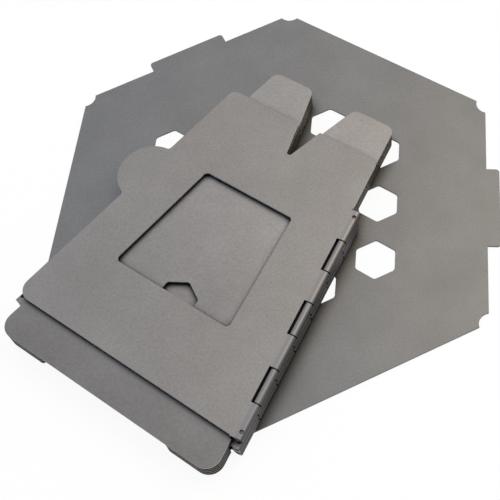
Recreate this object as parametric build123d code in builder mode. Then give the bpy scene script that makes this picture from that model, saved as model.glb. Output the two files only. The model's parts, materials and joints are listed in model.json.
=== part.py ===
from build123d import *
from math import cos, radians, sin, sqrt, tan
import os

# Folding hexagonal camping wood stove, folded flat and lying on its grate plate.
# Six tapered sheet-metal sides, joined by five rolled-knuckle hinges, fold up like a
# concertina. The top sheet of the stack is the fuel door. All sizes are in millimetres.
# The grate plate lies on the XY plane, and the origin is under the middle of the whole thing.

# Sheet metal
sheet = 0.5

# Grate plate
plate_side = 63.5
plate_centre = (0.6735, 5.1213)
corner_notch_radius = 3.0
corner_notch_outset = 0.8
tab_width = 22.5
tab_reach = 3.2
tab_corner = 0.9
hex_hole_radius = 5.5
hex_hole_corner = 0.35
hole_pitch = 16.2
hole_rings = 2

# The stack of sides on the plate, measured from the door's lower free corner
stack_angle = -29.19
door_corner = (-58.41, -33.10)
door_corner_to_centreline = 34.5
layer_pitch = 1.2
stack_gap = 0.1

# A side panel, measured from its centreline and from the door's bottom edge
taper = 8.1
half_axis_width = 32.9
wall_bottom = -9.5
wall_top = 89.3
wall_edge_inset = 1.6
foot_corner = 3.8
horn_corner = 2.5
notch_bottom = 68.0
notch_bottom_half_width = 0.55
notch_bottom_round = 0.5
notch_half_angle = 15.5
foot_recess_half_width = 19.0
foot_recess_depth = 2.0
foot_recess_corner = 0.9
vent_height = 19.9
slot_height = 7.0
slot_length = 23.5
slot_width = 1.4

# Door
door_height = 77.8
door_top_left = -24.56
door_edge_inset = 1.2
door_corner_round = 3.5
door_top_round = 2.0
finger_tab_radius = 8.6
finger_tab_centre = (-27.4, 44.7)
finger_tab_root = 1.0
window_centre = -1.75
window_bottom = 20.3
window_top = 52.8
window_half_bottom = 17.3
window_half_top = 13.3
window_corner = 1.2

# Rolled hinge
barrel_diameter = 2.2
bore_flats = 12
pin_diameter = 1.1
knuckle_count = 7
knuckle_pitch = 9.06
knuckle_gap = 0.3
lower_hinge_drop = 1.5
relief_upper = 1.35
relief_lower = 2.05
strip_overlap = 0.8
roll_end_upper = 155.0
roll_end_lower = 185.0
jog_end = 0.9
jog_clearance = 0.1
jog_lean = 0.2
cut_reach = 1.32
cutter_size = 8.8
stake_inset = 1.9
stake_radius = 0.5
stake_depth = 0.4
pin_end_inset = 2.9

# How near two points must be to count as one
same_point = 0.1

# Worked out from the sizes above
barrel_radius = barrel_diameter / 2
bore_radius = barrel_radius - sheet
slope = tan(radians(taper))
hinge_length = knuckle_count * knuckle_pitch
lower_leaf_top = barrel_radius - layer_pitch
wall_6_bottom = stack_gap + barrel_diameter - layer_pitch
stack_x = Vector(cos(radians(stack_angle)), sin(radians(stack_angle)), 0)
stack_y = Vector(-stack_x.Y, stack_x.X, 0)
stack_origin = (
    Vector(*plate_centre, 0) + Vector(*door_corner, 0) + stack_x * door_corner_to_centreline
)


def layer_bottom(layer):
    """Height of the underside of a sheet: layer 1 is the door and layer 6 the lowest wall."""
    return wall_6_bottom + (6 - layer) * layer_pitch


def layer_plane(layer):
    """Plane on the underside of a sheet, its X along the bottom edge and its Y up the side."""
    origin = stack_origin + Vector(0, 0, layer_bottom(layer))
    return Plane(origin=origin, x_dir=stack_x, z_dir=(0, 0, 1))


def edge_x(height, inset):
    """Distance from the centreline to a side edge that lies inset from the hinge axis."""
    return half_axis_width - slope * height - inset / cos(radians(taper))


def hinge_axis_height(upper_layer):
    """Height of a hinge's axis, whose barrel top is level with its upper sheet's top."""
    return layer_bottom(upper_layer) + sheet - barrel_radius


def hinge_start(upper_layer):
    """Distance up the side at which a hinge's knuckles begin."""
    return 0.0 if upper_layer == 1 else -lower_hinge_drop


def hinge_plane(upper_layer, along):
    """Plane square to a hinge's axis: X points out of the panel, Y up."""
    side = 1 if upper_layer % 2 else -1
    start = hinge_start(upper_layer)
    foot_x = half_axis_width - slope * start
    out = stack_x * (side * cos(radians(taper))) + stack_y * sin(radians(taper))
    run = stack_y * cos(radians(taper)) - stack_x * (side * sin(radians(taper)))
    height = Vector(0, 0, hinge_axis_height(upper_layer))
    origin = stack_origin + height + stack_x * (side * foot_x) + stack_y * start + run * along
    return Plane(origin=origin, x_dir=out, z_dir=out.cross(Vector(0, 0, 1)))


def hinge_box_plane(upper_layer, along):
    """Horizontal plane at a hinge's axis, its X out of the panel and its Y along the axis."""
    square = hinge_plane(upper_layer, along)
    return Plane(origin=square.origin, x_dir=square.x_dir, z_dir=(0, 0, 1))


def hex_hole_sketch():
    """Hexagonal air hole with its points up and down and its corners eased."""
    with BuildSketch() as hole:
        RegularPolygon(hex_hole_radius, 6, rotation=30)
        chamfer(hole.vertices(), hex_hole_corner)
    return hole.sketch


def bore_polygon():
    """Cut a knuckle's bore, whose flats stand clear of the pin, with one of them on top."""
    RegularPolygon(
        bore_radius, bore_flats, major_radius=False, rotation=180 / bore_flats, mode=Mode.SUBTRACT
    )


def upper_knuckle_sketch(plane):
    """Section of a knuckle rolled down from a sheet that meets the barrel at its top."""
    end = radians(roll_end_upper)
    reach = relief_upper + strip_overlap
    with BuildSketch(plane) as section:
        Circle(barrel_radius)
        bore_polygon()
        with BuildLine():
            Polyline(
                (0, 0),
                (0, bore_radius),
                (-cut_reach, bore_radius),
                (cut_reach * cos(end), cut_reach * sin(end)),
                close=True,
            )
        make_face(mode=Mode.SUBTRACT)
        with Locations((-reach / 2, barrel_radius - sheet / 2)):
            Rectangle(reach, sheet)
    return section.sketch


def lower_knuckle_sketch(plane):
    """Section of a knuckle whose sheet jogs down to the barrel's underside and rolls up."""
    end = radians(roll_end_lower)
    reach = relief_lower + strip_overlap
    jog_start = relief_lower - jog_clearance
    with BuildSketch(plane) as section:
        Circle(barrel_radius)
        bore_polygon()
        with BuildLine():
            Polyline(
                (0, 0),
                (0, -bore_radius),
                (-cut_reach, -bore_radius),
                (cut_reach * cos(end), cut_reach * sin(end)),
                close=True,
            )
        make_face(mode=Mode.SUBTRACT)
        with BuildLine():
            Polyline(
                (-reach, lower_leaf_top),
                (-jog_start, lower_leaf_top),
                (-jog_end, -bore_radius),
                (0, -bore_radius),
                (0, -barrel_radius),
                (-jog_end - jog_lean, -barrel_radius),
                (-jog_start - jog_lean, lower_leaf_top - sheet),
                (-reach, lower_leaf_top - sheet),
                close=True,
            )
        make_face()
    return section.sketch


def add_knuckles(upper_layer, upper):
    """Add one leaf's knuckles to the part that is being built."""
    first = 0 if upper else 1
    for number in range(first, knuckle_count, 2):
        middle = hinge_plane(upper_layer, (number + 0.5) * knuckle_pitch)
        section = upper_knuckle_sketch(middle) if upper else lower_knuckle_sketch(middle)
        extrude(section, amount=(knuckle_pitch - knuckle_gap) / 2, both=True)


def cut_relief(upper_layer, relief):
    """Cut a sheet's edge back along the barrel, so that the other leaf's knuckles clear it."""
    middle = hinge_box_plane(upper_layer, hinge_length / 2)
    with BuildSketch(middle) as cutter:
        with Locations((cutter_size / 2 - relief, 0)):
            Rectangle(cutter_size, hinge_length + knuckle_gap)
    extrude(cutter.sketch, amount=2 * barrel_diameter, both=True, mode=Mode.SUBTRACT)


def add_stakes(upper_layer):
    """Punch a dimple into the barrel near each end, which keeps the pin from sliding out."""
    for along in (stake_inset, hinge_length - stake_inset):
        top = hinge_box_plane(upper_layer, along)
        top = Plane(origin=top.origin + Vector(0, 0, barrel_radius), z_dir=(0, 0, 1))
        with BuildSketch(top) as dimple:
            Circle(stake_radius)
        extrude(dimple.sketch, amount=-stake_depth, mode=Mode.SUBTRACT)


def notched_outline(bottom_points, top, top_left, top_right):
    """Outline of a side panel from its bottom points up, with the V notch in its top edge."""
    half = notch_bottom_half_width + (top - notch_bottom) * tan(radians(notch_half_angle))
    Polyline(
        *bottom_points,
        (top_right, top),
        (half, top),
        (notch_bottom_half_width, notch_bottom),
        (-notch_bottom_half_width, notch_bottom),
        (-half, top),
        (top_left, top),
        close=True,
    )


def vertices_at_height(blank, height):
    """The corners of a flat blank that lie at a height above the door's bottom edge."""
    return blank.vertices().filter_by(lambda v: abs(v.Y - height) < same_point)


def make_wall(layer):
    """A full-height wall, with the door's hinge or its neighbours' hinges on its edges."""
    bottom = edge_x(wall_bottom, wall_edge_inset)
    top = edge_x(wall_top, wall_edge_inset)
    feet = layer > 2
    vented = layer % 2 == 0
    right_hinge = layer if layer % 2 else layer - 1
    left_hinge = layer - 1 if layer % 2 else layer
    with BuildPart() as wall:
        with BuildSketch(layer_plane(layer)) as blank:
            with BuildLine():
                corners = [(-bottom, wall_bottom), (bottom, wall_bottom)]
                if feet:
                    recess_top = wall_bottom + foot_recess_depth
                    corners = [
                        (-bottom, wall_bottom),
                        (-foot_recess_half_width, wall_bottom),
                        (-foot_recess_half_width, recess_top),
                        (foot_recess_half_width, recess_top),
                        (foot_recess_half_width, wall_bottom),
                        (bottom, wall_bottom),
                    ]
                notched_outline(corners, wall_top, -top, top)
            make_face()
            across = blank.vertices().group_by(Axis.Y)[0].sort_by(Axis.X)
            fillet([across[0], across[-1]], foot_corner)
            fillet(blank.vertices().group_by(Axis.Y)[-1], horn_corner)
            fillet(vertices_at_height(blank, notch_bottom), notch_bottom_round)
            if feet:
                recess = blank.vertices().filter_by(
                    lambda v: abs(abs(v.X) - foot_recess_half_width) < same_point
                )
                fillet(recess, foot_recess_corner)
            if vented:
                with Locations((0, vent_height)):
                    add(hex_hole_sketch(), mode=Mode.SUBTRACT)
                with Locations((0, slot_height)):
                    Rectangle(slot_length, slot_width, mode=Mode.SUBTRACT)
        extrude(amount=sheet)
        cut_relief(right_hinge, relief_upper if layer % 2 else relief_lower)
        add_knuckles(right_hinge, upper=bool(layer % 2))
        if layer % 2:
            add_stakes(right_hinge)
        if left_hinge < 6:
            cut_relief(left_hinge, relief_lower if layer % 2 else relief_upper)
            add_knuckles(left_hinge, upper=not layer % 2)
            if not layer % 2:
                add_stakes(left_hinge)
    return wall


def door_window_sketch():
    """The door's tapered opening for fuel."""
    with BuildSketch() as window:
        with BuildLine():
            Polyline(
                (window_centre - window_half_bottom, window_bottom),
                (window_centre + window_half_bottom, window_bottom),
                (window_centre + window_half_top, window_top),
                (window_centre - window_half_top, window_top),
                close=True,
            )
        make_face()
        fillet(window.vertices(), window_corner)
    return window.sketch


def make_door():
    """The fuel door: shorter than the walls, with a window and a half-round finger tab."""
    left = -door_corner_to_centreline
    bottom_right = edge_x(0, door_edge_inset)
    top_right = edge_x(door_height, door_edge_inset)
    with BuildPart() as door:
        with BuildSketch(layer_plane(1)) as blank:
            with BuildLine():
                notched_outline(
                    [(left, 0), (bottom_right, 0)], door_height, door_top_left, top_right
                )
            make_face()
            fillet(blank.vertices().sort_by(Axis.X)[0], door_corner_round)
            across = blank.vertices().group_by(Axis.Y)[-1].sort_by(Axis.X)
            fillet([across[0], across[-1]], door_top_round)
            fillet(vertices_at_height(blank, notch_bottom), notch_bottom_round)
            before = blank.vertices()
            with Locations(finger_tab_centre):
                Circle(finger_tab_radius)
            roots = [
                v
                for v in blank.vertices()
                if all((v.center() - w.center()).length > same_point for w in before)
            ]
            fillet(roots, finger_tab_root)
            add(door_window_sketch(), mode=Mode.SUBTRACT)
        extrude(amount=sheet)
        cut_relief(1, relief_upper)
        add_knuckles(1, upper=True)
        add_stakes(1)
    return door


def make_pin(upper_layer):
    """A loose hinge pin, shorter than its barrel and held between the two stakes."""
    with BuildPart() as pin:
        with BuildSketch(hinge_plane(upper_layer, hinge_length / 2)):
            Circle(pin_diameter / 2)
        extrude(amount=hinge_length / 2 - pin_end_inset, both=True)
    return pin


def make_base_plate():
    """The hexagonal grate plate, with its round-notched corners, three tabs and air holes."""
    apothem = plate_side * sqrt(3) / 2
    step = hole_pitch * cos(radians(30))
    holes = [
        (column * step, (row + column / 2) * hole_pitch)
        for column in range(-hole_rings, hole_rings + 1)
        for row in range(-hole_rings, hole_rings + 1)
        if abs(row + column) <= hole_rings
    ]
    with BuildPart() as plate:
        with BuildSketch(Plane(origin=(*plate_centre, 0))):
            RegularPolygon(plate_side, 6, rotation=30)
            with PolarLocations(plate_side + corner_notch_outset, 6, start_angle=30):
                Circle(corner_notch_radius, mode=Mode.SUBTRACT)
            with PolarLocations(apothem, 3):
                RectangleRounded(2 * tab_reach, tab_width, tab_corner)
            with Locations(*holes):
                add(hex_hole_sketch(), mode=Mode.SUBTRACT)
        extrude(amount=sheet)
    return plate


os.makedirs("parts", exist_ok=True)

base_plate = make_base_plate()
base_plate.part.label = "base_plate"
export_step(base_plate.part, "parts/base_plate.step")

door = make_door()
door.part.label = "door"
export_step(door.part, "parts/door.step")

for layer in range(2, 7):
    wall = make_wall(layer)
    wall.part.label = f"wall_{layer}"
    export_step(wall.part, f"parts/wall_{layer}.step")

for upper_layer in range(1, 6):
    pin = make_pin(upper_layer)
    pin.part.label = f"hinge_pin_{upper_layer}"
    export_step(pin.part, f"parts/hinge_pin_{upper_layer}.step")
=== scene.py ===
import json

import bpy
from mathutils import Matrix, Vector

# Folding hexagonal camping wood stove, folded flat on its grate plate: the looks of its bare,
# bead-blasted titanium sheets and of its drawn hinge pins, in plain studio light. Metres.
MM = 0.001

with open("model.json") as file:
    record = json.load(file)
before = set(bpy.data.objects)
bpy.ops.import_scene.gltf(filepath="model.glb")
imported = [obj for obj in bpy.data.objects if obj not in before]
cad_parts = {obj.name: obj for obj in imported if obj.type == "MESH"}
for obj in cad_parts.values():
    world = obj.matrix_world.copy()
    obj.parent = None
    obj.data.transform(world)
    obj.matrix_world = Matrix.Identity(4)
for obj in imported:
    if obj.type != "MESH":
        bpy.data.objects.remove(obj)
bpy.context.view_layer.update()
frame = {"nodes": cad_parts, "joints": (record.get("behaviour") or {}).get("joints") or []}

# Camera, fitted to the plate's corners and the door's outline
LENS_MM = 66.36
SENSOR_MM = 36.0
NEAREST_SEEN = 10 * MM
CAMERA_PLACE = (0.0324758, -0.1198641, 0.2010236)
CAMERA_RIGHT = (0.9877190421, 0.1074579004, -0.1134191052)
CAMERA_DOWN = (0.0392046566, -0.8731613809, -0.4858520328)
CAMERA_FORWARD = (-0.1512418219, 0.4754387474, -0.8666509729)

# Blasted sheets
BLAST_GRAIN = 0.55 * MM     # real grit marks are about 0.1 mm; drawn coarser, so that they show
GRIT_CONTRAST = (0.88, 1.12)
GRIT_BUMP = 0.25
GRIT_DEPTH = 0.02 * MM
HANDLING_MOTTLE = 14 * MM   # soft cloudy patches left by handling and by uneven blasting
EDGE_ROUNDING = 0.18 * MM   # the laser-cut edges, eased by the blasting
EDGE_SAMPLES = 6
CUT_FACE_UPWARD = (0.6, 0.2)    # a face that points up less than this counts as cut
SHEET_ROUGHNESS = (0.50, 0.60)

# Painted shade in gaps and beside the stack: how far a gap reaches, how open a spot is where
# the painted shade starts and where it is full, and how dark it then is. The door lies on top
# of the stack, so it gets less painted shade.
# near-black colour of the painted shade in gaps and on the barrels' flanks
PAINTED_SHADE_COLOUR = "#191614"
GAP_SAMPLES = 8
SHEET_PAINTED_SHADE = (2.4 * MM, 0.89, 0.50, 0.95)
PLATE_PAINTED_SHADE = (5.5 * MM, 0.84, 0.46, 0.80)
DOOR_PAINTED_SHADE = (1.2 * MM, 0.78, 0.36, 0.95)

# Rolled barrels, with stretches measured outwards from the hinge's axis: over the first the
# barrel begins, and over the second its flank turns down and takes painted shade
BARREL_TINT = "#8f8d8e"     # rubbed metal, a little cooler than the blasted sheet
BARREL_ROUGHNESS = 0.40
BARREL_STRETCH = (-1.1 * MM, -0.7 * MM)
FLANK_STRETCH = (0.0 * MM, 0.9 * MM)
# how much painted shade the barrels' flanks get
FLANK_PAINTED_SHADE = 0.68
RIGHT_HINGE = ("side_hinge_1",)
BOTH_HINGES = ("side_hinge_1", "side_hinge_2")

# Pin wire
WIRE_LINES = 0.25 * MM      # drawing lines round the pins; the real ones are finer
WIRE_ROUGHNESS = (0.30, 0.42)

# Wall 2's painted shade and painted light, which change from its foot to the top of the door's
# window, up the sides: painted shade at the foot, painted light at the top
UP_THE_SIDES = (0.4877, 0.8730, 0.0)
FOOT_EDGE = -62 * MM
WINDOW_TOP = 0 * MM
FOOT_PAINTED_SHADE = 0.80
TOP_PAINTED_LIGHT = 1.20

# Light, at a level at which a colour renders about as it is written
WORLD_COLOUR = "#f0f5ff"
WORLD_LEVEL = 0.90
KEY_COLOUR = "#ffe6b6"
KEY_WATTS = 1.6
KEY_PLACE = (0.34, 0.27, 0.52)
KEY_SIZE = 0.50
PAPER_WHITE = "#ffffff"
PAPER_GLOW = 0.90           # how much of the white is the paper's own, seen by eye and in metal
PAPER_HALF = 3.0            # the paper runs this far each way, and then stands up as a backdrop
PAPER_RISE = 1.5
PAPER_DROP = 0.02 * MM      # it lies this far under the plate, so that no faces coincide

# Nearly all values of a noise lie in this stretch
NOISE_STRETCH = (0.3, 0.7)

# The Mix node's colour sockets, which share their names with its number sockets
COLOUR_A = 6
COLOUR_B = 7
MIXED = 2


def linear(colour):
    """An sRGB hex colour as the linear RGBA that shaders take."""
    parts = [int(colour[i:i + 2], 16) / 255 for i in (1, 3, 5)]
    return (*[p / 12.92 if p <= 0.04045 else ((p + 0.055) / 1.055) ** 2.4 for p in parts], 1.0)


def add_node(tree, kind, settings=None, inputs=None):
    """Add a node, set its properties, and fill or link its inputs by name or number."""
    node = tree.nodes.new(kind)
    for name, value in (settings or {}).items():
        setattr(node, name, value)
    for name, value in (inputs or {}).items():
        socket = node.inputs[name]
        if isinstance(value, bpy.types.NodeSocket):
            tree.links.new(value, socket)
        else:
            socket.default_value = value
    return node


def new_material(name):
    """A material with an empty node tree, and that tree."""
    material = bpy.data.materials.new(name)
    material.use_nodes = True
    material.node_tree.nodes.clear()
    return material, material.node_tree


def past_the_hinges(tree, place, hinges, start, end):
    """How far a point lies outside the named hinges' axes: 0 at start, 1 at end, in metres."""
    past = []
    for joint in frame["joints"]:
        if joint["name"] in hinges:
            outward = Vector(joint["axis"]).cross(Vector((0, 0, 1)))
            axis_at = outward.dot(Vector(joint["pos_m"]))
            reach = add_node(tree, "ShaderNodeVectorMath", {"operation": "DOT_PRODUCT"}, {
                0: place.outputs["Object"], 1: outward})
            share = add_node(tree, "ShaderNodeMapRange", {"interpolation_type": "SMOOTHSTEP"}, {
                "Value": reach.outputs["Value"], "From Min": axis_at + start,
                "From Max": axis_at + end})
            past.append(share.outputs["Result"])
    furthest = past[0]
    for share in past[1:]:
        furthest = add_node(tree, "ShaderNodeMath", {"operation": "MAXIMUM"}, {
            0: furthest, 1: share}).outputs["Value"]
    return furthest


def blasted_titanium(name, light, dark, cut_face_painted_light, painted_shade, hinges=(), foot_painted_shade=1.0, top_painted_light=1.0):
    """Bead-blasted titanium sheet: a soft, even grey metal without a mirror image. Fine grain
    and faint clouds break it up. Its cut faces get a painted highlight or painted shade, as
    each sheet is given, and painted shade turns the gaps black. The rolled hinge barrels are
    burnished: they gleam on top, and their flanks carry painted shade. A sheet can be given
    painted shade at its foot and painted light further up."""
    material, tree = new_material(name)
    place = add_node(tree, "ShaderNodeTexCoord")
    grain = add_node(tree, "ShaderNodeTexNoise", None, {
        "Vector": place.outputs["Object"], "Scale": 1 / BLAST_GRAIN, "Detail": 2.0,
        "Roughness": 0.6})
    mottle = add_node(tree, "ShaderNodeTexNoise", None, {
        "Vector": place.outputs["Object"], "Scale": 1 / HANDLING_MOTTLE, "Detail": 3.0,
        "Roughness": 0.55})
    clouds = add_node(tree, "ShaderNodeMapRange", None, {
        "Value": mottle.outputs["Fac"], "From Min": NOISE_STRETCH[0],
        "From Max": NOISE_STRETCH[1]})
    sheet = add_node(tree, "ShaderNodeMix", {"data_type": "RGBA"}, {
        "Factor": clouds.outputs["Result"], COLOUR_A: linear(dark), COLOUR_B: linear(light)})
    grit = add_node(tree, "ShaderNodeMapRange", None, {
        "Value": grain.outputs["Fac"], "From Min": NOISE_STRETCH[0],
        "From Max": NOISE_STRETCH[1], "To Min": GRIT_CONTRAST[0], "To Max": GRIT_CONTRAST[1]})
    # a ramp of painted shade at the foot and painted light higher up; 1.0 at both ends paints
    # none
    height = add_node(tree, "ShaderNodeVectorMath", {"operation": "DOT_PRODUCT"}, {
        0: place.outputs["Object"], 1: UP_THE_SIDES})
    tone = add_node(tree, "ShaderNodeMapRange", None, {
        "Value": height.outputs["Value"], "From Min": FOOT_EDGE, "From Max": WINDOW_TOP,
        "To Min": foot_painted_shade, "To Max": top_painted_light})
    # the grit times the ramp of painted shade and painted light
    blasting = add_node(tree, "ShaderNodeMath", {"operation": "MULTIPLY"}, {
        0: grit.outputs["Result"], 1: tone.outputs["Result"]})
    grained = add_node(tree, "ShaderNodeMix", {"data_type": "RGBA", "blend_type": "MULTIPLY"}, {
        "Factor": 1.0, COLOUR_A: sheet.outputs[MIXED], COLOUR_B: blasting.outputs["Value"]})

    # Laser-cut faces, coloured as a painted highlight or painted shade: in its own coordinates
    # each sheet lies flat, so these stand upright
    upward = add_node(tree, "ShaderNodeVectorMath", {"operation": "DOT_PRODUCT"}, {
        0: place.outputs["Normal"], 1: (0, 0, 1)})
    lying = add_node(tree, "ShaderNodeMath", {"operation": "ABSOLUTE"}, {
        0: upward.outputs["Value"]})
    cut_face = add_node(tree, "ShaderNodeMapRange", None, {
        "Value": lying.outputs["Value"], "From Min": CUT_FACE_UPWARD[0],
        "From Max": CUT_FACE_UPWARD[1]})
    metal = add_node(tree, "ShaderNodeMix", {"data_type": "RGBA"}, {
        "Factor": cut_face.outputs["Result"], COLOUR_A: grained.outputs[MIXED],
        COLOUR_B: linear(cut_face_painted_light)})
    softness = add_node(tree, "ShaderNodeMapRange", None, {
        "Value": grain.outputs["Fac"], "From Min": NOISE_STRETCH[0],
        "From Max": NOISE_STRETCH[1], "To Min": SHEET_ROUGHNESS[0],
        "To Max": SHEET_ROUGHNESS[1]})

    # Burnished barrels, smoother than the sheet, with painted shade on the flanks
    if hinges:
        barrel = past_the_hinges(tree, place, hinges, *BARREL_STRETCH)
        flank = past_the_hinges(tree, place, hinges, *FLANK_STRETCH)
        shade = add_node(tree, "ShaderNodeMath", {"operation": "MULTIPLY"}, {
            0: flank, 1: FLANK_PAINTED_SHADE})
        burnished = add_node(tree, "ShaderNodeMix", {"data_type": "RGBA"}, {
            "Factor": barrel, COLOUR_A: metal.outputs[MIXED], COLOUR_B: linear(BARREL_TINT)})
        metal = add_node(tree, "ShaderNodeMix", {"data_type": "RGBA"}, {
            "Factor": shade.outputs["Value"], COLOUR_A: burnished.outputs[MIXED],
            COLOUR_B: linear(PAINTED_SHADE_COLOUR)})
        softness = add_node(tree, "ShaderNodeMapRange", None, {
            "Value": barrel, "To Min": softness.outputs["Result"], "To Max": BARREL_ROUGHNESS})

    # Painted shade in the gaps between the stacked sheets and on the plate beside the stack
    reach, open_at_start, open_at_full, darkness = painted_shade
    gap = add_node(tree, "ShaderNodeAmbientOcclusion", {"samples": GAP_SAMPLES}, {
        "Distance": reach})
    painted_shade_share = add_node(tree, "ShaderNodeMapRange", None, {
        "Value": gap.outputs["AO"], "From Min": open_at_start, "From Max": open_at_full,
        "To Max": darkness})
    # the colour with the painted shade mixed in where a gap is close
    finish = add_node(tree, "ShaderNodeMix", {"data_type": "RGBA"}, {
        "Factor": painted_shade_share.outputs["Result"], COLOUR_A: metal.outputs[MIXED],
        COLOUR_B: linear(PAINTED_SHADE_COLOUR)})

    eased = add_node(tree, "ShaderNodeBevel", {"samples": EDGE_SAMPLES}, {
        "Radius": EDGE_ROUNDING})
    bump = add_node(tree, "ShaderNodeBump", None, {
        "Strength": GRIT_BUMP, "Distance": GRIT_DEPTH, "Height": grain.outputs["Fac"],
        "Normal": eased.outputs["Normal"]})
    shader = add_node(tree, "ShaderNodeBsdfPrincipled", None, {
        "Base Color": finish.outputs[MIXED], "Metallic": 1.0,
        "Roughness": softness.outputs["Result"], "Normal": bump.outputs["Normal"]})
    add_node(tree, "ShaderNodeOutputMaterial", None, {"Surface": shader.outputs["BSDF"]})
    return material


def drawn_wire(name, light, dark):
    """Drawn titanium wire: smoother and darker than the sheets, with fine lines round it, so
    the pin shows as a dark gleam between the knuckles."""
    material, tree = new_material(name)
    place = add_node(tree, "ShaderNodeTexCoord")
    lines = add_node(tree, "ShaderNodeTexNoise", None, {
        "Vector": place.outputs["Object"], "Scale": 1 / WIRE_LINES, "Detail": 2.0})
    tint = add_node(tree, "ShaderNodeMix", {"data_type": "RGBA"}, {
        "Factor": lines.outputs["Fac"], COLOUR_A: linear(dark), COLOUR_B: linear(light)})
    softness = add_node(tree, "ShaderNodeMapRange", None, {
        "Value": lines.outputs["Fac"], "To Min": WIRE_ROUGHNESS[0],
        "To Max": WIRE_ROUGHNESS[1]})
    shader = add_node(tree, "ShaderNodeBsdfPrincipled", None, {
        "Base Color": tint.outputs[MIXED], "Metallic": 1.0,
        "Roughness": softness.outputs["Result"]})
    add_node(tree, "ShaderNodeOutputMaterial", None, {"Surface": shader.outputs["BSDF"]})
    return material


def dress(node, material):
    """Give a CAD node its finish."""
    mesh = frame["nodes"][node].data
    mesh.materials.clear()
    mesh.materials.append(material)


def studio_paper():
    """Matt paper that is white to the eye and in metal, and still takes the stove's shadow."""
    material, tree = new_material("matt white studio paper")
    path = add_node(tree, "ShaderNodeLightPath")
    seen = add_node(tree, "ShaderNodeMath", {"operation": "MAXIMUM"}, {
        0: path.outputs["Is Camera Ray"], 1: path.outputs["Is Glossy Ray"]})
    seen = add_node(tree, "ShaderNodeMath", {"operation": "MAXIMUM"}, {
        0: seen.outputs["Value"], 1: path.outputs["Is Transmission Ray"]})
    share = add_node(tree, "ShaderNodeMapRange", None, {
        "Value": seen.outputs["Value"], "To Max": PAPER_GLOW})
    paper = add_node(tree, "ShaderNodeBsdfDiffuse", None, {"Color": linear(PAPER_WHITE)})
    glow = add_node(tree, "ShaderNodeEmission", None, {
        "Color": linear(PAPER_WHITE), "Strength": 1.0})
    surface = add_node(tree, "ShaderNodeMixShader", None, {
        0: share.outputs["Result"], 1: paper.outputs["BSDF"], 2: glow.outputs["Emission"]})
    add_node(tree, "ShaderNodeOutputMaterial", None, {"Surface": surface.outputs["Shader"]})
    return material


def studio():
    """A tray of white paper round the stove, pale surroundings and one large soft light."""
    corners = [(-1, -1), (1, -1), (1, 1), (-1, 1)]
    points = [(x * PAPER_HALF, y * PAPER_HALF, z) for z in (0, PAPER_RISE) for x, y in corners]
    backdrop = [(i, i + 4, (i + 1) % 4 + 4, (i + 1) % 4) for i in range(4)]
    floor_mesh = bpy.data.meshes.new("studio_floor")
    floor_mesh.from_pydata(points, [], [(0, 1, 2, 3)] + backdrop)
    floor_mesh.materials.append(studio_paper())
    floor = bpy.data.objects.new("studio_floor", floor_mesh)
    floor.location.z = -PAPER_DROP
    bpy.context.scene.collection.objects.link(floor)

    world = bpy.data.worlds.new("pale studio")
    bpy.context.scene.world = world
    world.use_nodes = True
    tree = world.node_tree
    tree.nodes.clear()
    air = add_node(tree, "ShaderNodeBackground", None, {
        "Color": linear(WORLD_COLOUR), "Strength": WORLD_LEVEL})
    add_node(tree, "ShaderNodeOutputWorld", None, {"Surface": air.outputs["Background"]})

    light = bpy.data.lights.new("key_light", "AREA")
    light.energy = KEY_WATTS
    light.size = KEY_SIZE
    light.color = linear(KEY_COLOUR)[:3]
    lamp = bpy.data.objects.new("key_light", light)
    lamp.location = KEY_PLACE
    lamp.rotation_euler = (-Vector(KEY_PLACE)).to_track_quat("-Z", "Y").to_euler()
    bpy.context.scene.collection.objects.link(lamp)


def camera():
    """The photograph's viewpoint."""
    data = bpy.data.cameras.new("camera")
    data.lens = LENS_MM
    data.sensor_width = SENSOR_MM
    data.clip_start = NEAREST_SEEN
    eye = bpy.data.objects.new("camera", data)
    columns = (Vector(CAMERA_RIGHT), -Vector(CAMERA_DOWN), -Vector(CAMERA_FORWARD))
    turn = Matrix(columns).transposed().to_4x4()
    eye.matrix_world = Matrix.Translation(CAMERA_PLACE) @ turn
    bpy.context.scene.collection.objects.link(eye)
    bpy.context.scene.camera = eye


# Cut-face colours: a painted highlight on the door, wall 2 and the plate, painted shade on walls
# 3 to 6.
door_sheet = blasted_titanium(
    "bead-blasted titanium door sheet", "#9e9b98", "#969390", "#c6ccd6", DOOR_PAINTED_SHADE,
    RIGHT_HINGE)
wall_sheet = blasted_titanium(
    "bead-blasted titanium wall sheet", "#9b9895", "#93908d", "#6d6861", SHEET_PAINTED_SHADE,
    BOTH_HINGES)
# Wall 2 gets painted shade at its foot and painted light at its top.
window_wall_sheet = blasted_titanium(
    "bead-blasted titanium wall sheet, dull foot", "#9b9896", "#93908e", "#a7a6a4",
    SHEET_PAINTED_SHADE, BOTH_HINGES, FOOT_PAINTED_SHADE, TOP_PAINTED_LIGHT)
plate_sheet = blasted_titanium(
    "bead-blasted titanium grate plate", "#8c8c8c", "#848484", "#a8adb4", PLATE_PAINTED_SHADE)
pin_wire = drawn_wire("drawn titanium pin wire", "#85827e", "#5c5a58")

finishes = {"base_plate": plate_sheet, "door": door_sheet, "wall_2": window_wall_sheet}
for node in frame["nodes"]:
    others = pin_wire if node.startswith("hinge_pin") else wall_sheet
    dress(node, finishes.get(node, others))

studio()
camera()
bpy.context.scene.view_settings.view_transform = "Standard"
